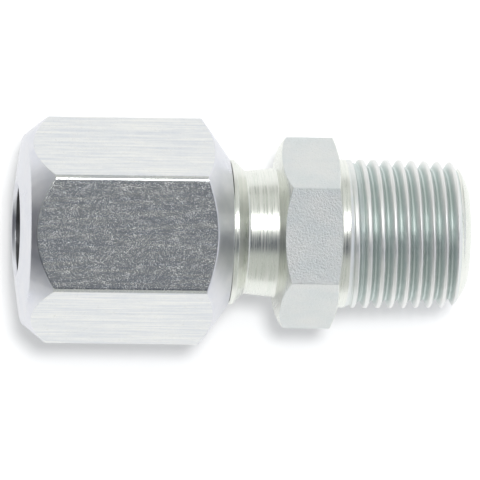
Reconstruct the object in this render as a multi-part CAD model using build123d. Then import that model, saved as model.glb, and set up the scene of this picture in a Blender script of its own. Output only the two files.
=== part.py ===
from build123d import *
from math import atan, cos, degrees, radians, sin, sqrt, tan
import os

# Straight male stud coupling for metal tube, in zinc-plated steel.
# A turned body with a hexagon carries a taper pipe thread at one end, and a fine
# parallel thread with a 24 degree cone at the other. A cutting ring stands in
# the cone, and a long union nut pulls it in on the tube.
#
# Frame: the axis is X, with the origin where it meets the stud side of the body
# hexagon. The stud points to +X and the tube enters from -X. One flat of each
# hexagon looks up, to +Z. Lengths are in millimetres and angles in degrees.

# Taper pipe thread of the stud, 14 turns to the inch
stud_pitch = 1.814
stud_gauge_dia = 20.955        # over the crests in the gauge plane
stud_gauge_length = 8.2        # gauge plane to the small end
stud_taper = 1 / 16            # loss of diameter over length
stud_flank_angle = 55.0
stud_blank_dia = 21.0          # turned diameter, which also caps the first crests
stud_length = 18.6             # hexagon face to the small end
stud_collar_length = 1.2       # plain part beside the hexagon
stud_washout_length = 2.4      # length over which the groove dies out
stud_first_groove = 1.36       # collar to where the groove first crosses +Y
stud_nose_length = 2.3
stud_nose_dia = 14.0
stud_nose_bulge = 0.28

# Body hexagon and its two turned faces
body_af = 23.5                 # across flats
body_hex_length = 8.76
body_edge_radius = 0.25
body_washer_dia = 23.1         # flat turned face on the stud side
body_washer_angle = 16.5       # fall of the chamfer outside it
body_back_dia = 22.7           # rim of the steep face on the neck side
body_back_angle = 11.3         # fall of that face
body_bevel_length = 1.15       # rounded bevel from the rim to the corners
body_bevel_bulge = 0.14

# Neck between the hexagon and the union thread, a slow cone
neck_length = 4.3
neck_small_dia = 17.36
neck_large_dia = 18.3
neck_fillet = 0.8

# Union thread, fine and parallel, with a runout cone to the neck
union_thread_dia = 20.5
union_thread_length = 12.4
union_runout_angle = 45.0
union_lead_bevel = 0.8

# Tube side of the body
cone_angle = 24.0              # whole angle of the cone that the ring enters
cone_mouth_dia = 15.0
tube_dia = 12.7
tube_clearance = 0.1           # on diameter, in the socket and in the ring
socket_depth = 10.0            # union face to the stop that the tube meets
flow_bore_dia = 10.0
flow_bore_bevel = 0.4

# Cutting ring
ring_length = 9.76
ring_entry = 3.2               # how far it stands in the cone, hand tight
ring_cone_gap = 0.12           # square to the cone
ring_cone_length = 4.7
ring_collar_dia = 16.8
ring_rear_dia = 14.2
ring_rear_angle = 45.0
ring_relief_start = 1.4        # front edge to the hollow behind it
ring_relief_length = 1.6
ring_relief_depth = 0.2

# Union nut
nut_af = 28.0                  # across flats
nut_length = 30.0
nut_edge_radius = 0.9
nut_end_dia = 26.64            # rim of the slightly coned end face
nut_end_rise = 1.0             # hole to rim, along the axis
nut_end_angle = 38.8           # cone outside the rim, from the axis
nut_mouth_dia = 21.1
nut_mouth_angle = 54.2         # cone outside the mouth, from the axis
nut_tube_clearance = 0.3       # on diameter, round the tube
nut_hole_bevel_length = 0.46
nut_hole_bevel_width = 0.3
nut_thread_clearance = 0.1     # radial, over the body thread
nut_shoulder_gap = 0.1         # square to the shoulder that bears on the ring
nut_mouth_gap = 0.74           # mouth to the end of the body thread, hand tight

# Places along the axis that follow from the sizes
neck_start = -body_hex_length
neck_end = neck_start - neck_length
runout_length = (union_thread_dia - neck_small_dia) / 2 / tan(radians(union_runout_angle))
thread_end = neck_end - runout_length
union_face = thread_end - union_thread_length
ring_front = union_face + ring_entry
ring_back = ring_front - ring_length
nut_mouth = thread_end - nut_mouth_gap
nut_end = nut_mouth - nut_length


def turned(*points):
    """Solid turned about the axis from points of (place, radius)."""
    return revolve(make_face(Polyline(*points, close=True)), Axis.X)


def hexagon(across_flats, start, length, edge_radius):
    """Hexagonal bar along the axis, one flat up, its long edges a little round."""
    outline = RegularPolygon(across_flats / 2, 6, major_radius=False)
    outline = fillet(outline.vertices(), edge_radius)
    return Pos(start, 0, 0) * (Plane.YZ * extrude(outline, length))


def stud_crest(place):
    """Crest radius of the taper thread at a place along the axis."""
    gauge_plane = stud_length - stud_gauge_length
    return stud_gauge_dia / 2 + (gauge_plane - place) * stud_taper / 2


def stud_depth():
    """Depth of the thread, two thirds of its sharp triangle."""
    return stud_pitch / 3 / tan(radians(stud_flank_angle / 2))


def stud_root_cone():
    """Taper core of the stud at the bottom of the thread."""
    start = -stud_pitch
    start_radius = stud_crest(start) - stud_depth()
    end_radius = stud_crest(stud_length) - stud_depth()
    return turned((start, 0), (start, start_radius), (stud_length, end_radius), (stud_length, 0))


def stud_ridge():
    """Ridge of the right-hand taper thread, swept on a conical helix."""
    half_slope = tan(radians(stud_flank_angle / 2))
    start = stud_collar_length + stud_first_groove - stud_pitch * 3 / 2
    crest = stud_crest(start)
    foot = crest - stud_depth() * 9 / 8
    crest_half = stud_depth() / 4 * half_slope
    foot_half = crest_half + (crest - foot) * half_slope
    section = make_face(
        Polyline(
            (foot, 0, start - foot_half),
            (crest, 0, start - crest_half),
            (crest, 0, start + crest_half),
            (foot, 0, start + foot_half),
            close=True,
        )
    )
    lean = atan(stud_taper / 2)
    path = Helix(
        stud_pitch / cos(lean),
        stud_length + stud_pitch - start,
        foot,
        center=(0, 0, start),
        cone_angle=-degrees(lean),
    )
    return Plane.YZ * sweep(section, path=path, is_frenet=True)


def stud_outside():
    """Turned outside of the stud: the blank's cylinder and its rounded nose."""
    blank_radius = stud_blank_dia / 2
    nose_foot = (stud_length - stud_nose_length, blank_radius)
    rim = (stud_length, stud_nose_dia / 2)
    profile = Polyline((0, 0), (0, blank_radius), nose_foot)
    profile += SagittaArc(nose_foot, rim, stud_nose_bulge)
    profile += Polyline(rim, (stud_length, 0), (0, 0))
    return revolve(make_face(profile), Axis.X)


def stud_washout():
    """Plain collar and the cone on which the groove dies out."""
    end = stud_collar_length + stud_washout_length
    root = stud_crest(end) - stud_depth()
    blank_radius = stud_blank_dia / 2
    collar_end = stud_collar_length
    return turned((0, 0), (0, blank_radius), (collar_end, blank_radius), (end, root), (end, 0))


def body_hexagon():
    """Hexagon with a chamfered face to the stud and a rounded back to the neck."""
    corner = body_af / sqrt(3)
    outside = corner + 1
    back_radius = body_back_dia / 2
    back_fall = (back_radius - neck_large_dia / 2) * tan(radians(body_back_angle))
    back_rim = (neck_start + back_fall, back_radius)
    bevel_end = (back_rim[0] + body_bevel_length, corner)
    washer_radius = body_washer_dia / 2
    washer_fall = (outside - washer_radius) * tan(radians(body_washer_angle))
    profile = Polyline((neck_start, 0), (neck_start, neck_large_dia / 2), back_rim)
    profile += SagittaArc(back_rim, bevel_end, body_bevel_bulge)
    profile += Polyline(
        bevel_end,
        (bevel_end[0], outside),
        (-washer_fall, outside),
        (0, washer_radius),
        (0, 0),
        (neck_start, 0),
    )
    bar = hexagon(body_af, neck_start, body_hex_length, body_edge_radius)
    return bar & revolve(make_face(profile), Axis.X)


def union_end():
    """Neck, runout cone and the plain cylinder that carries the union thread."""
    thread_radius = union_thread_dia / 2
    foot = (neck_end, neck_small_dia / 2)
    outline = make_face(
        Polyline(
            (neck_start, 0),
            (neck_start, neck_large_dia / 2),
            foot,
            (thread_end, thread_radius),
            (union_face + union_lead_bevel, thread_radius),
            (union_face, thread_radius - union_lead_bevel),
            (union_face, 0),
            close=True,
        )
    )
    corner = outline.vertices().sort_by_distance(foot)[0]
    return revolve(fillet(corner, neck_fillet), Axis.X)


def passage():
    """Cone, tube socket with its stop, and the flow bore through the stud."""
    mouth = cone_mouth_dia / 2
    socket = (tube_dia + tube_clearance) / 2
    bore = flow_bore_dia / 2
    cone_length = (mouth - socket) / tan(radians(cone_angle / 2))
    stop = union_face + socket_depth
    return turned(
        (union_face, 0),
        (union_face, mouth),
        (union_face + cone_length, socket),
        (stop, socket),
        (stop, bore),
        (stud_length - flow_bore_bevel, bore),
        (stud_length, bore + flow_bore_bevel),
        (stud_length, 0),
    )


def make_body():
    """The one-piece body, tube end to stud."""
    stud = (stud_root_cone() + stud_ridge()) & stud_outside()
    return stud + stud_washout() + body_hexagon() + union_end() - passage()


def make_ring():
    """Cutting ring: a front cone with a sharp edge, a collar and a rear bevel."""
    bore = (tube_dia + tube_clearance) / 2
    half_cone = radians(cone_angle / 2)
    edge = cone_mouth_dia / 2 - ring_entry * tan(half_cone) - ring_cone_gap / cos(half_cone)
    cone_back = ring_front - ring_cone_length
    waist = edge + ring_cone_length * tan(half_cone)
    collar = ring_collar_dia / 2
    rear = ring_rear_dia / 2
    rear_rise = (collar - rear) / tan(radians(ring_rear_angle))
    relief_front = ring_front - ring_relief_start
    relief_back = relief_front - ring_relief_length
    relief = bore + ring_relief_depth
    return turned(
        (ring_front, bore),
        (ring_front, edge),
        (cone_back, waist),
        (cone_back - (collar - waist), collar),
        (ring_back + rear_rise, collar),
        (ring_back, rear),
        (ring_back, bore),
        (relief_back, bore),
        (relief_back + ring_relief_depth, relief),
        (relief_front, relief),
        (relief_front, bore),
    )


def nut_outline():
    """Turned outline of the nut: coned end face, end cone and mouth cone."""
    hole = (tube_dia + nut_tube_clearance) / 2 + nut_hole_bevel_width
    outside = nut_af / sqrt(3) + 1
    rim = nut_end_dia / 2
    mouth = nut_mouth_dia / 2
    rim_place = nut_end + nut_end_rise
    end_length = (outside - rim) / tan(radians(nut_end_angle))
    mouth_length = (outside - mouth) / tan(radians(nut_mouth_angle))
    return turned(
        (nut_end, 0),
        (nut_end, hole),
        (rim_place, rim),
        (rim_place + end_length, outside),
        (nut_mouth - mouth_length, outside),
        (nut_mouth, mouth),
        (nut_mouth, 0),
    )


def nut_inside():
    """Tube hole, the shoulder that bears on the ring, and the thread bore."""
    hole = (tube_dia + nut_tube_clearance) / 2
    thread_bore = union_thread_dia / 2 + nut_thread_clearance
    slope = radians(ring_rear_angle)
    shoulder = ring_back - (ring_rear_dia / 2 - hole) / tan(slope) - nut_shoulder_gap / sin(slope)
    shoulder_end = shoulder + (thread_bore - hole) / tan(slope)
    return turned(
        (nut_end, 0),
        (nut_end, hole + nut_hole_bevel_width),
        (nut_end + nut_hole_bevel_length, hole),
        (shoulder, hole),
        (shoulder_end, thread_bore),
        (nut_mouth, thread_bore),
        (nut_mouth, 0),
    )


def make_nut():
    """Union nut, a long hexagon coned at both ends."""
    bar = hexagon(nut_af, nut_end, nut_length, nut_edge_radius)
    return (bar & nut_outline()) - nut_inside()


os.makedirs("parts", exist_ok=True)
export_step(make_body(), "parts/stud_body.step")
export_step(make_ring(), "parts/cutting_ring.step")
export_step(make_nut(), "parts/union_nut.step")
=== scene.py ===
import math

import bpy
from mathutils import Matrix, Vector


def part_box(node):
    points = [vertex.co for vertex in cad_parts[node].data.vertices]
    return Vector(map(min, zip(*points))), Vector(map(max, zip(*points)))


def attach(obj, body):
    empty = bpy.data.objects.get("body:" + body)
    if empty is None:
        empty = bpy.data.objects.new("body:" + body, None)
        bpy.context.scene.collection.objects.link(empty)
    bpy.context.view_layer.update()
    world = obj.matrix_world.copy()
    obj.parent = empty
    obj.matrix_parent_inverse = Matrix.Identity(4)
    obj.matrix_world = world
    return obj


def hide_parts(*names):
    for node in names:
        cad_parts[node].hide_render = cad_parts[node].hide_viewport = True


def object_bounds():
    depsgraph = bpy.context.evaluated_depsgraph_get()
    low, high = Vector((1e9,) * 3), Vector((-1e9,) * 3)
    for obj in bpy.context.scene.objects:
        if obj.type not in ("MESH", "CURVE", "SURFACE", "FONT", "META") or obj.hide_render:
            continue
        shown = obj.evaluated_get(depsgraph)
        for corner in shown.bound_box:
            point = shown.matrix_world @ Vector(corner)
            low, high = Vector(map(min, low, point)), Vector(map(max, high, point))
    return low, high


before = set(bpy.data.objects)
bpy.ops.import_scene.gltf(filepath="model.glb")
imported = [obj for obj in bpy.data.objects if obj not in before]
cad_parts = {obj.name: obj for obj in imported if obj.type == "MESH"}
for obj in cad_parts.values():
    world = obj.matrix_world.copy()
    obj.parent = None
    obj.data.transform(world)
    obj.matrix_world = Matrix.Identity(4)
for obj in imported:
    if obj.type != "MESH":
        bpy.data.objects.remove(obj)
cad_low, cad_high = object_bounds()


# Union nut: a long piece of drawn hexagon bar in zinc-plated steel, turned to a cone at
# both ends and bored through. Its fine thread runs on the body, and an inner shoulder
# pushes the cutting ring forward.

mm = 0.001                       # every size below is in millimetres
nut_low, nut_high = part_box("union_nut")
nut_end = nut_low.x / mm
nut_mouth = nut_high.x / mm
nut_flats = nut_high.z / mm * 2
nut_edge = 0.9                   # radius along the six long edges
nut_end_rise = 1.0               # how far the end face falls back towards its rim
nut_rim_radius = 13.32
nut_rim_place = nut_end + nut_end_rise
nut_end_cone = math.radians(38.8)
nut_mouth_cone = math.radians(54.2)
nut_mouth_radius = 10.55
nut_hole_radius = 6.5
nut_hole_bevel = 0.3
nut_hole_bevel_length = 0.46
nut_bore_radius = 10.35
nut_shoulder = -34.33
nut_thread_inner = 9.5           # crest of the inner thread
nut_thread_start = nut_shoulder + 7.5
nut_thread_lead = 0.1            # mouth to where the inner thread begins to rise
nut_thread_runout = 1.2
nut_thread_step = 0.11
union_pitch = 1.5
union_crest = 10.25
union_root = 9.34
union_half_angle = math.radians(30)
thread_gap = 0.07                # between the two threads' flanks
crest_share = 1.4                # gap over the body's crests, as a share of that gap
edge_break = 0.14                # how far a tool has broken the sharp corners
rim_break = 0.22
mouth_break = 0.06
small_break = 0.1
FLAT, TURNED, BORE = 0, 1, 2     # the finishes of the nut's skin


def rounded_corner(flats, edge):
    """Distance of an edge's round from the axis, and half the angle that it fills."""
    centre = (flats / 2 - edge) / math.cos(math.radians(30))
    half = math.atan2(edge * 0.5, centre + edge * math.cos(math.radians(30)))
    return centre, half


def around_hexagon(flats, edge, on_flat, on_edge):
    """Angles of the columns round a hexagon, closer together on its rounded edges."""
    centre, half = rounded_corner(flats, edge)
    angles = []
    for corner in range(6):
        middle = math.radians(60) * corner
        for step in range(on_edge):
            lean = math.radians(30) * (2 * step / on_edge - 1)
            turn = math.atan2(edge * math.sin(lean), centre + edge * math.cos(lean))
            angles.append(middle + turn)
        width = math.radians(60) - 2 * half
        angles += [middle + half + width * step / on_flat for step in range(on_flat)]
    return angles


def hexagon_radius(angle, flats, edge):
    """Distance from the axis to a hexagon's skin, with its edges rounded."""
    away = math.radians(abs((math.degrees(angle) + 30) % 60 - 30))
    centre, half = rounded_corner(flats, edge)
    if away < half:
        across = centre * math.sin(away)
        return centre * math.cos(away) + math.sqrt(edge * edge - across * across)
    return flats / 2 / math.cos(math.radians(30) - away)


def broken(corners):
    """Section line with each corner broken by a small curve.

    A corner is (place, radius, size of the break, finish of the stretch after it)."""
    most = 0.45                  # share of a short stretch that a break may take
    points = []
    for index, (place, radius, size, finish) in enumerate(corners):
        here = Vector((place, radius))
        if size == 0:
            points.append((here, finish))
            continue
        back = Vector(corners[index - 1][:2]) - here
        ahead = Vector(corners[(index + 1) % len(corners)][:2]) - here
        reach = min(size, back.length * most, ahead.length * most)
        start = here + back.normalized() * reach
        end = here + ahead.normalized() * reach
        for share in (0, 0.25, 0.5, 0.75, 1):
            bend = start.lerp(here, share).lerp(here.lerp(end, share), share)
            points.append((bend, finish))
    return points


def turned_piece(name, angles, section, finishes):
    """Closed mesh round the X axis: section(angle) gives the points and their finish."""
    rings = [section(angle) for angle in angles]
    rows = len(rings[0])
    places = []
    for angle, ring in zip(angles, rings):
        for point, finish in ring:
            across = point.y * math.cos(angle)
            up = point.y * math.sin(angle)
            places.append((point.x * mm, across * mm, up * mm))
    faces = []
    marks = []
    for column in range(len(angles)):
        near = column * rows
        far = (column + 1) % len(angles) * rows
        for row in range(rows):
            after = (row + 1) % rows
            faces.append((near + row, far + row, far + after, near + after))
            marks.append(rings[column][row][1])
    mesh = bpy.data.meshes.new(name)
    mesh.from_pydata(places, [], faces)
    for finish in finishes:
        mesh.materials.append(finish.material)
    mesh.polygons.foreach_set("material_index", marks)
    mesh.polygons.foreach_set("use_smooth", [True] * len(faces))
    mesh.update()
    piece = bpy.data.objects.new(name, mesh)
    bpy.context.scene.collection.objects.link(piece)
    normals = piece.modifiers.new("even_shading", "WEIGHTED_NORMAL")
    normals.weight = 90
    return piece


def union_thread(place, angle, gap):
    """Skin of the fine right-hand thread: the body's with no gap, or the nut's over it."""
    turn = (place / union_pitch - angle / math.tau) % 1.0
    off_crest = abs(turn - 0.5) * union_pitch
    crest_half = union_pitch / 16
    outward = gap / math.sin(union_half_angle)
    flank = union_crest - (off_crest - crest_half) / math.tan(union_half_angle) + outward
    return min(union_crest + gap * crest_share, max(union_root + outward, flank))


def nut_section(angle):
    """Section of the nut: outside from the hole to the mouth, then back through it."""
    skin = hexagon_radius(angle, nut_flats, nut_edge)
    cone_start = nut_rim_place + (skin - nut_rim_radius) / math.tan(nut_end_cone)
    cone_end = nut_mouth - (skin - nut_mouth_radius) / math.tan(nut_mouth_cone)
    corners = [
        (nut_end + nut_hole_bevel_length, nut_hole_radius, small_break, TURNED),
        (nut_end, nut_hole_radius + nut_hole_bevel, small_break, TURNED),
        (nut_rim_place, nut_rim_radius, rim_break, TURNED),
        (cone_start, skin, edge_break, FLAT),
        (cone_end, skin, edge_break, TURNED),
        (nut_mouth, nut_mouth_radius, mouth_break, TURNED),
        (nut_mouth, nut_bore_radius, 0, BORE),
    ]
    length = nut_mouth - nut_thread_start
    steps = round(length / nut_thread_step)
    for step in range(1, steps):
        place = nut_mouth - length * step / steps
        groove = union_thread(place, angle, thread_gap)
        lead = nut_bore_radius - max(0, nut_mouth - place - nut_thread_lead)
        runout = nut_thread_inner + max(0, nut_thread_start + nut_thread_runout - place)
        radius = min(nut_bore_radius, max(groove, nut_thread_inner, lead, runout))
        corners.append((place, radius, 0, BORE))
    shoulder_end = nut_shoulder + nut_bore_radius - nut_hole_radius
    corners += [
        (nut_thread_start, nut_bore_radius, 0, BORE),
        (shoulder_end, nut_bore_radius, small_break, BORE),
        (nut_shoulder, nut_hole_radius, small_break, BORE),
    ]
    return broken(corners)


def worked_out(tree, kind, first, second, clamp=False):
    """Output of one sum in a node tree, on two outputs or numbers."""
    node = tree.nodes.new("ShaderNodeMath")
    node.operation = kind
    node.use_clamp = clamp
    for socket, value in zip(node.inputs, (first, second)):
        if isinstance(value, (int, float)):
            socket.default_value = value
        else:
            tree.links.new(value, socket)
    return node.outputs[0]


def mixed(tree, share, first, second):
    """Output between two colours in a node tree, which are outputs or plain colours."""
    node = tree.nodes.new("ShaderNodeMix")
    node.data_type = "RGBA"
    colours = [socket for socket in node.inputs if socket.type == "RGBA"]
    for socket, value in zip(colours, (first, second)):
        if isinstance(value, tuple):
            socket.default_value = value
        else:
            tree.links.new(value, socket)
    tree.links.new(share, node.inputs["Factor"])
    return [socket for socket in node.outputs if socket.type == "RGBA"][0]


class Finish:
    """Nodes of one metal finish. Its own colour and roughness hold where no node sets them."""

    def __init__(self, name, colour, roughness):
        self.material = bpy.data.materials.new(name)
        self.material.use_nodes = True
        self.tree = self.material.node_tree
        self.shader = self.tree.nodes["Principled BSDF"]
        self.shader.inputs["Metallic"].default_value = 1.0
        self.shader.inputs["Base Color"].default_value = (*colour, 1)
        self.shader.inputs["Roughness"].default_value = roughness
        self.place = self.tree.nodes.new("ShaderNodeTexCoord").outputs["Object"]

    def link(self, source, target):
        """Joins an output to an input."""
        self.tree.links.new(source, target)

    def sum_of(self, kind, first, second):
        """Output of one sum in this finish's nodes."""
        return worked_out(self.tree, kind, first, second)

    def blend(self, first, second, share):
        """Two values added, the second by its share and the first by the rest."""
        main = self.sum_of("MULTIPLY", first, 1 - share)
        return self.sum_of("ADD", main, self.sum_of("MULTIPLY", second, share))

    def along_bar(self, length, width):
        """Place on the bar in grains of that length along the axis and that width."""
        node = self.tree.nodes.new("ShaderNodeVectorMath")
        node.operation = "MULTIPLY"
        self.link(self.place, node.inputs[0])
        node.inputs[1].default_value = (1 / (length * mm), 1 / (width * mm), 1 / (width * mm))
        return node.outputs[0]

    def from_axis(self):
        """Place along each axis, and distance from the long axis."""
        parts = self.tree.nodes.new("ShaderNodeSeparateXYZ")
        self.link(self.place, parts.inputs[0])
        across = self.sum_of("MULTIPLY", parts.outputs["Y"], parts.outputs["Y"])
        up = self.sum_of("MULTIPLY", parts.outputs["Z"], parts.outputs["Z"])
        radius = self.sum_of("SQRT", self.sum_of("ADD", across, up), 0)
        return parts.outputs, radius

    def round_axis(self, width, stretch):
        """Place on a turned face, in lines of that width that run round the axis."""
        on_face = 0.62               # lines also follow one another across an end face
        parts, radius = self.from_axis()
        along = self.sum_of("ADD", parts["X"], self.sum_of("MULTIPLY", radius, on_face))
        whole = self.tree.nodes.new("ShaderNodeCombineXYZ")
        self.link(self.sum_of("MULTIPLY", along, 1 / (width * mm)), whole.inputs["X"])
        for axis in ("Y", "Z"):
            share = self.sum_of("DIVIDE", parts[axis], radius)
            self.link(self.sum_of("MULTIPLY", share, stretch), whole.inputs[axis])
        return whole.outputs[0]

    def over_cone(self, radius, at, slope):
        """Height in mm over a cone that has that radius there and narrows by that slope."""
        parts, here = self.from_axis()
        level = self.sum_of("ADD", here, self.sum_of("MULTIPLY", parts["X"], slope))
        over = self.sum_of("SUBTRACT", level, (radius + at * slope) * mm)
        return self.sum_of("MULTIPLY", over, 1 / mm)

    def noise(self, place, detail, roughness):
        """Noise value at a place."""
        node = self.tree.nodes.new("ShaderNodeTexNoise")
        node.inputs["Scale"].default_value = 1.0
        node.inputs["Detail"].default_value = detail
        node.inputs["Roughness"].default_value = roughness
        self.link(place, node.inputs["Vector"])
        return node.outputs["Fac"]

    def spread(self, value, span, low, high):
        """Value stretched from a span to the range from low to high."""
        node = self.tree.nodes.new("ShaderNodeMapRange")
        for socket, number in zip(node.inputs[1:5], (*span, low, high)):
            socket.default_value = number
        self.link(value, node.inputs["Value"])
        return node.outputs["Result"]

    def tint(self, value, span, low, high):
        """Base colour that goes from one colour to another over a span of the value."""
        shown = mixed(self.tree, self.spread(value, span, 0, 1), (*low, 1), (*high, 1))
        self.link(shown, self.shader.inputs["Base Color"])

    def gloss(self, value, span, low, high):
        """Roughness that goes from low to high over a span of the value."""
        self.link(self.spread(value, span, low, high), self.shader.inputs["Roughness"])

    def relief(self, *layers):
        """Bump of (value, height in thousandths of a millimetre), one over the other."""
        normal = None
        for value, height in layers:
            node = self.tree.nodes.new("ShaderNodeBump")
            node.inputs["Strength"].default_value = 1.0
            node.inputs["Distance"].default_value = height * mm / 1000
            self.link(value, node.inputs["Height"])
            if normal:
                self.link(normal, node.inputs["Normal"])
            normal = node.outputs["Normal"]
        self.link(normal, self.shader.inputs["Normal"])


# The flats keep the bar's drawn skin: a fine grain that glints, in patches, and faint
# streaks along the bar.
nut_bar = Finish("nut_drawn_bar_zinc", (0.76, 0.79, 0.8), 0.2)
grain = nut_bar.noise(nut_bar.along_bar(length=0.15, width=0.13), detail=3.0, roughness=0.75)
patches = nut_bar.noise(nut_bar.along_bar(length=1.9, width=1.0), detail=4.0, roughness=0.7)
streaks = nut_bar.noise(nut_bar.along_bar(length=11.0, width=0.45), detail=4.0, roughness=0.6)
tone = nut_bar.blend(streaks, patches, share=0.3)
nut_bar.tint(tone, span=(0.38, 0.62), low=(0.59, 0.61, 0.63), high=(0.73, 0.73, 0.7))
speck = nut_bar.blend(grain, patches, share=0.25)
nut_bar.gloss(speck, span=(0.54, 0.64), low=0.08, high=0.62)
nut_bar.relief((grain, 14.0), (patches, 7.0), (streaks, 2.5))

# The two cones and the end face are turned, with fine lines round the axis.
nut_turned = Finish("nut_turned_zinc", (0.74, 0.74, 0.79), 0.3)
lines = nut_turned.noise(nut_turned.round_axis(width=0.22, stretch=1.6), detail=3.0, roughness=0.7)
cloud = nut_turned.noise(nut_turned.along_bar(length=4.0, width=4.0), detail=3.0, roughness=0.6)
nut_turned.tint(cloud, span=(0.35, 0.65), low=(0.62, 0.63, 0.67), high=(0.72, 0.72, 0.74))
nut_turned.gloss(cloud, span=(0.3, 0.7), low=0.26, high=0.4)
nut_turned.relief((lines, 3.5), (cloud, 14.0))

# Inside the bore the zinc is painted nearly black, as painted shade that makes the hole read dark,
# with turning lines round the axis.
nut_bore = Finish("nut_bore_painted_shade_zinc", (0.2, 0.2, 0.21), 0.4)
lines = nut_bore.noise(nut_bore.round_axis(width=0.3, stretch=1.0), detail=3.0, roughness=0.7)
nut_bore.tint(lines, span=(0.3, 0.7), low=(0.14, 0.14, 0.15), high=(0.26, 0.26, 0.26))
nut_bore.relief((lines, 4.0))

nut_angles = around_hexagon(nut_flats, nut_edge, on_flat=22, on_edge=8)
nut_finishes = [nut_bar, nut_turned, nut_bore]
nut = turned_piece("union_nut_dressed", nut_angles, nut_section, nut_finishes)
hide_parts("union_nut")
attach(nut, "nut")


# Body: one turned piece of smaller hexagon bar in zinc-plated steel. The taper pipe
# thread is cut on the stud, and the fine thread with its 24 degree cone on the tube
# side. A flow bore runs right through.

body_low, body_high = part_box("stud_body")
union_face = body_low.x / mm
stud_end = body_high.x / mm
body_flats = 23.5
body_edge = 0.25
hexagon_back = -8.76
washer_radius = 11.55
washer_fall = math.tan(math.radians(16.5))
back_rim_radius = 11.35
back_fall = 0.439
back_bevel_length = 1.15
back_bevel_bulge = 0.14
back_bevel_steps = 5
neck_large_radius = 9.15
neck_small_radius = 8.68
neck_end = -13.06
thread_end = -14.63
union_lead = 0.8
union_start = union_face + 0.1   # where the fine thread's own points begin
union_runout = 0.5
union_runout_slope = 0.8
union_step = 0.12
stud_pitch = 1.814
stud_gauge_radius = 20.955 / 2
stud_gauge_place = stud_end - 8.2
stud_taper = 1 / 32
stud_half_angle = math.radians(27.5)
stud_slope = math.tan(stud_half_angle)
stud_depth = stud_pitch / 3 / stud_slope
stud_round = 0.1373 * stud_pitch
stud_groove_place = 2.56         # where a groove crosses +Y
stud_step = 0.095
blank_radius = 10.5
collar_length = 1.2
washout_end = 3.6
nose_length = 2.3
nose_radius = 7.0
nose_bulge = 0.28
nose_bare = nose_length * 0.7    # part of the nose that has no thread on it
bore_radius = 5.0
bore_bevel = 0.4
socket_radius = 6.4
socket_stop = union_face + 10.0
cone_mouth_radius = 7.5
cone_slope = math.tan(math.radians(12))
hexagon_break = edge_break * 0.6
neck_break = 0.38
foot_break = 0.12
bore_break = 0.08
THREAD = 2                       # finish of the stud, beside the flat and turned ones


def arc_radius(place, start, end, bulge):
    """Radius at a place on an arc from start to end that bulges out from its chord."""
    start, end = Vector(start), Vector(end)
    chord = end - start
    size = (chord.length_squared / 4 + bulge * bulge) / (2 * bulge)
    inward = Vector((chord.y, -chord.x)).normalized()
    centre = (start + end) / 2 + inward * (size - bulge)
    off = place - centre.x
    return centre.y + math.sqrt(max(0, size * size - off * off))


def stud_crest(place):
    """Radius of the taper over the sharp crests at a place along the axis."""
    return stud_gauge_radius + (stud_gauge_place - place) * stud_taper


def stud_thread(place, angle):
    """Radius of the rounded 55 degree taper thread."""
    turn = ((place - stud_groove_place) / stud_pitch - angle / math.tau) % 1.0
    off_crest = abs(turn - 0.5) * stud_pitch
    off_root = stud_pitch / 2 - off_crest
    touch = stud_round * math.cos(stud_half_angle)
    level = stud_depth / 2 - stud_round
    if off_crest < touch:
        height = level + math.sqrt(stud_round ** 2 - off_crest ** 2)
    elif off_root < touch:
        height = -level - math.sqrt(stud_round ** 2 - off_root ** 2)
    else:
        height = (stud_pitch / 4 - off_crest) / stud_slope
    return stud_crest(place) - stud_depth / 2 + height


def stud_skin(place, angle):
    """Radius of the stud: thread, its washout beside the collar, and the nose."""
    nose_start = stud_end - nose_length
    outside = blank_radius
    if place > nose_start:
        outside = arc_radius(place, (nose_start, blank_radius), (stud_end, nose_radius), nose_bulge)
    threaded = min(outside, stud_thread(place, angle))
    if place >= washout_end:
        return threaded
    share = max(0, (place - collar_length) / (washout_end - collar_length))
    washout = blank_radius + (stud_crest(washout_end) - stud_depth - blank_radius) * share
    return max(washout, threaded)


def back_bevel(skin):
    """Corners of the rounded bevel on the hexagon's back, out to the skin."""
    rim_place = hexagon_back + back_fall
    corner_radius = body_flats / math.sqrt(3)
    corners = []
    for step in range(1, back_bevel_steps + 1):
        radius = back_rim_radius + (skin - back_rim_radius) * step / back_bevel_steps
        share = (radius - back_rim_radius) / (corner_radius - back_rim_radius)
        bulge = back_bevel_bulge * 4 * share * (1 - share)
        place = rim_place + back_bevel_length * share - bulge
        if step == back_bevel_steps:
            corners.append((place, radius, hexagon_break, FLAT))
        else:
            corners.append((place, radius, 0, TURNED))
    return corners


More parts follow.
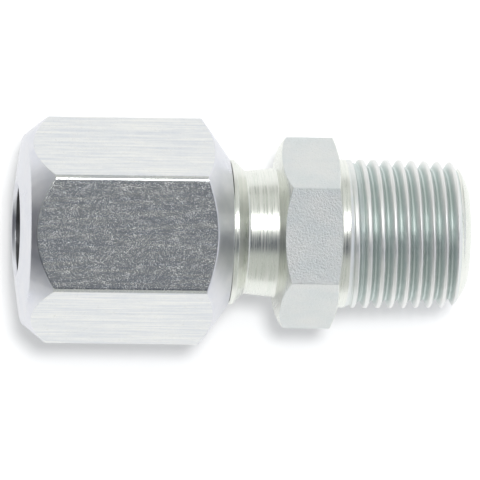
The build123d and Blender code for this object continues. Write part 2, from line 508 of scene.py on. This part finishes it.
def body_section(angle):
    """Section of the body: outside from the union face to the nose, then back inside."""
    skin = hexagon_radius(angle, body_flats, body_edge)
    corners = [
        (union_face, cone_mouth_radius, bore_break, TURNED),
        (union_face, union_crest - union_lead, bore_break, TURNED),
    ]
    length = thread_end - union_start
    steps = round(length / union_step)
    for step in range(steps):
        place = union_start + length * step / steps
        lead = union_crest - union_lead + place - union_face
        runout = union_crest - max(0, thread_end - union_runout - place) * union_runout_slope
        radius = max(runout, union_thread(place, angle, 0))
        corners.append((place, min(lead, radius), 0, TURNED))
    corners += [
        (thread_end, union_crest, small_break, TURNED),
        (neck_end, neck_small_radius, neck_break, TURNED),
        (hexagon_back, neck_large_radius, foot_break, TURNED),
        (hexagon_back + back_fall, back_rim_radius, small_break, TURNED),
    ]
    corners += back_bevel(skin)
    corners += [
        (-(skin - washer_radius) * washer_fall, skin, hexagon_break, TURNED),
        (0, washer_radius, small_break, TURNED),
        (0, blank_radius, 0, TURNED),
    ]
    steps = round(stud_end / stud_step)
    for step in range(1, steps):
        place = stud_end * step / steps
        finish = THREAD if collar_length < place < stud_end - nose_bare else TURNED
        corners.append((place, stud_skin(place, angle), 0, finish))
    mouth = (cone_mouth_radius - socket_radius) / cone_slope
    corners += [
        (stud_end, nose_radius, small_break, TURNED),
        (stud_end, bore_radius + bore_bevel, bore_break, TURNED),
        (stud_end - bore_bevel, bore_radius, bore_break, TURNED),
        (socket_stop, bore_radius, bore_break, TURNED),
        (socket_stop, socket_radius, 0, TURNED),
        (union_face + mouth, socket_radius, small_break, TURNED),
    ]
    return broken(corners)


# The hexagon is duller and grainier than the nut's bar.
body_bar = Finish("body_hexagon_zinc", (0.78, 0.81, 0.8), 0.5)
grain = body_bar.noise(body_bar.along_bar(length=0.3, width=0.3), detail=3.0, roughness=0.7)
cloud = body_bar.noise(body_bar.along_bar(length=5.0, width=3.0), detail=3.0, roughness=0.5)
body_bar.tint(cloud, span=(0.35, 0.65), low=(0.72, 0.75, 0.74), high=(0.77, 0.78, 0.76))
body_bar.gloss(grain, span=(0.35, 0.65), low=0.28, high=0.46)
body_bar.relief((grain, 220.0))

# Neck, collar and faces show plain turning lines, a little yellow from the passivation.
body_turned = Finish("body_turned_zinc", (0.78, 0.79, 0.74), 0.26)
lines = body_turned.noise(body_turned.round_axis(width=0.26, stretch=0.9), detail=4.0, roughness=0.75)
cloud = body_turned.noise(body_turned.along_bar(length=4.0, width=4.0), detail=3.0, roughness=0.6)
body_turned.tint(lines, span=(0.35, 0.65), low=(0.66, 0.69, 0.63), high=(0.84, 0.84, 0.79))
body_turned.gloss(lines, span=(0.35, 0.65), low=0.2, high=0.42)
body_turned.relief((lines, 12.0), (cloud, 10.0))

# The taper thread is painted darker green-grey in its grooves, as painted shade, and paler on its
# crests, as painted highlight, with random patches over both.
body_thread = Finish("body_thread_zinc", (0.7, 0.76, 0.74), 0.26)
lines = body_thread.noise(body_thread.round_axis(width=0.2, stretch=1.4), detail=3.0, roughness=0.7)
cloud = body_thread.noise(body_thread.along_bar(length=1.6, width=1.6), detail=3.0, roughness=0.6)
height = body_thread.over_cone(stud_gauge_radius, stud_gauge_place, stud_taper)
# painted shade low in the grooves and painted highlight high on the crests, varied by random patches
groove_shade_crest_highlight = body_thread.sum_of("ADD", height, body_thread.spread(cloud, (0.3, 0.7), -0.2, 0.2))
body_thread.tint(groove_shade_crest_highlight, span=(-0.9, -0.1), low=(0.62, 0.68, 0.66), high=(0.82, 0.82, 0.8))
body_thread.gloss(cloud, span=(0.3, 0.7), low=0.38, high=0.54)
body_thread.relief((lines, 5.0), (cloud, 12.0))

body_angles = around_hexagon(body_flats, body_edge, on_flat=27, on_edge=6)
body_finishes = [body_bar, body_turned, body_thread]
body = turned_piece("stud_body_dressed", body_angles, body_section, body_finishes)
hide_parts("stud_body")
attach(body, "body")


# Cutting ring: a small hardened ring, turned and ground. It stands loose in the cone of
# the body with its sharp edge to the front, and the nut's shoulder bears on its back.

ring_steel = Finish("cutting_ring_steel", (0.62, 0.6, 0.56), 0.3)
lines = ring_steel.noise(ring_steel.round_axis(width=0.15, stretch=1.5), detail=3.0, roughness=0.7)
ring_steel.tint(lines, span=(0.3, 0.7), low=(0.52, 0.5, 0.47), high=(0.68, 0.66, 0.62))
ring_steel.relief((lines, 2.0))
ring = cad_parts["cutting_ring"]
ring.data.materials.clear()
ring.data.materials.append(ring_steel.material)


# Stage: a small white table that the nut rests on, a soft lamp for the metal and one for
# the table, both overhead, and a room that only the metal shows. The room is dark in a
# strip overhead and towards the tube end, and pale towards the stud and the far side.

table_height = cad_low.z         # in metres, and so is table_half
table_half = 0.16
table_colour = (0.7, 0.7, 0.7, 1)
table_glow = 0.27                # brings the table up to white where it is seen
table_mesh = bpy.data.meshes.new("table")
table_corners = [(-1, -1), (1, -1), (1, 1), (-1, 1)]
table_mesh.from_pydata(
    [(x * table_half, y * table_half, table_height) for x, y in table_corners], [], [(0, 1, 2, 3)]
)
table = bpy.data.objects.new("table", table_mesh)
bpy.context.scene.collection.objects.link(table)

table_paint = bpy.data.materials.new("white_table")
table_paint.use_nodes = True
paint = table_paint.node_tree
paint.nodes.clear()
matt = paint.nodes.new("ShaderNodeBsdfDiffuse")
matt.inputs["Color"].default_value = table_colour
glow = paint.nodes.new("ShaderNodeEmission")
rays = paint.nodes.new("ShaderNodeLightPath").outputs
seen = worked_out(paint, "MAXIMUM", rays["Is Camera Ray"], rays["Is Glossy Ray"])
seen = worked_out(paint, "MAXIMUM", seen, rays["Is Transmission Ray"])
paint.links.new(worked_out(paint, "MULTIPLY", seen, table_glow), glow.inputs["Strength"])
both = paint.nodes.new("ShaderNodeAddShader")
paint.links.new(matt.outputs[0], both.inputs[0])
paint.links.new(glow.outputs[0], both.inputs[1])
surface = paint.nodes.new("ShaderNodeOutputMaterial")
paint.links.new(both.outputs[0], surface.inputs["Surface"])
table_mesh.materials.append(table_paint)


def far_lamp(name, tilt, width, level):
    """Lamp far overhead, tilted towards +Y; tilt and width are in degrees."""
    data = bpy.data.lights.new(name, "SUN")
    data.energy = level
    data.angle = math.radians(width)
    made = bpy.data.objects.new(name, data)
    made.rotation_euler = (-math.radians(tilt), 0, 0)
    bpy.context.scene.collection.objects.link(made)
    return made


far_lamp("soft_lamp", tilt=20, width=24, level=0.8)
table_lamp = far_lamp("table_lamp", tilt=9, width=10, level=1.7)
table_lamp.visible_glossy = False    # it lights the table and makes no glint on metal

# The room's colour over a direction's Y, from the near side (-1) to the far side (1)
room_steps = [
    (-1.0, (0.62, 0.64, 0.62)),
    (-0.62, (0.66, 0.68, 0.66)),
    (-0.42, (0.05, 0.06, 0.095)),
    (0.97, (0.82, 0.84, 0.82)),
    (0.976, (0.46, 0.48, 0.46)),
]
low_reach = 0.3                  # direction's Z below which the room grows pale
low_share = 0.5
low_colour = (0.8, 0.8, 0.8, 1)
stud_side_start = 0.35           # direction's X from which it grows pale to the stud
stud_side_rise = 3.0
stud_side_share = 0.9
stud_side_colour = (1.0, 1.02, 1.12, 1)
tube_side_start = -0.55          # direction's X from which it grows dark to the tube
tube_side_rise = 2.6
tube_side_half = 0.6875          # size of a direction's Y up to which that dark reaches
tube_side_fade = 1.6
tube_side_colour = (0.14, 0.14, 0.154, 1)
white = (1, 1, 1, 1)
world = bpy.data.worlds.new("pale_room")
world.use_nodes = True
bpy.context.scene.world = world
room = world.node_tree


def rising(value, start, rise):
    """Share from 0 to 1 that rises from a start, or falls to it where rise is negative."""
    beyond = worked_out(room, "SUBTRACT", value, start)
    return worked_out(room, "MULTIPLY", beyond, rise, clamp=True)


look = room.nodes.new("ShaderNodeTexCoord")
toward = room.nodes.new("ShaderNodeSeparateXYZ")
room.links.new(look.outputs["Generated"], toward.inputs[0])
levels = room.nodes.new("ShaderNodeValToRGB")
steps = levels.color_ramp.elements
steps.remove(steps[0])
steps[0].position = 0
for place, colour in room_steps[1:]:
    steps.new((place + 1) / 2)
for step, (place, colour) in zip(steps, room_steps):
    step.color = (*colour, 1)
from_near = worked_out(room, "ADD", toward.outputs["Y"], 1)
room.links.new(worked_out(room, "MULTIPLY", from_near, 0.5), levels.inputs[0])
stud_side = rising(toward.outputs["X"], stud_side_start, stud_side_rise)
stud_side = worked_out(room, "MULTIPLY", stud_side, stud_side_share)
low = rising(toward.outputs["Z"], low_reach, -1 / low_reach)
low = worked_out(room, "MULTIPLY", low, low_share)
off_middle = worked_out(room, "ABSOLUTE", toward.outputs["Y"], 0)
tube_side = rising(toward.outputs["X"], tube_side_start, -tube_side_rise)
near_middle = rising(off_middle, tube_side_half, -tube_side_fade)
tube_side = worked_out(room, "MULTIPLY", tube_side, near_middle)
shown_room = mixed(room, stud_side, levels.outputs[0], stud_side_colour)
shown_room = mixed(room, low, shown_room, low_colour)
shown_room = mixed(room, tube_side, shown_room, tube_side_colour)
camera_ray = room.nodes.new("ShaderNodeLightPath").outputs["Is Camera Ray"]
background = room.nodes["Background"]
room.links.new(mixed(room, camera_ray, shown_room, white), background.inputs["Color"])
background.inputs["Strength"].default_value = 1.0


# Camera: a long lens over the table, almost square to the upper flat of the nut and a
# little to its tube end.

yaw = math.radians(5.8)          # towards the tube end
clock = math.radians(2.2)        # towards +Y
roll = math.radians(0.73)
distance = 2000.0
pixels_per_mm = 7.066
picture_width = 480
known_point = Vector((-13.0, 0, 0))
known_pixel = (243.7, 232.1)     # where that point of the axis lies in the picture
back = Vector((-math.sin(yaw), math.sin(clock) * math.cos(yaw), math.cos(clock) * math.cos(yaw)))
along = Vector((1, 0, 0)) - back * back.x
along.normalize()
over = back.cross(along)
right = along * math.cos(roll) + over * math.sin(roll)
up = over * math.cos(roll) - along * math.sin(roll)
off_right = (known_pixel[0] - picture_width / 2) / pixels_per_mm
off_up = (picture_width / 2 - known_pixel[1]) / pixels_per_mm
target = known_point - right * off_right - up * off_up
lens = bpy.data.cameras.new("long_lens")
lens.sensor_width = 36.0
lens.lens = pixels_per_mm * distance * lens.sensor_width / picture_width
lens.clip_end = 50.0             # in metres
camera = bpy.data.objects.new("camera", lens)
stand = (target + back * distance) * mm
camera.matrix_world = Matrix.Translation(stand) @ Matrix((right, up, back)).transposed().to_4x4()
bpy.context.scene.collection.objects.link(camera)
bpy.context.scene.camera = camera

bpy.context.scene.view_settings.view_transform = "Standard"
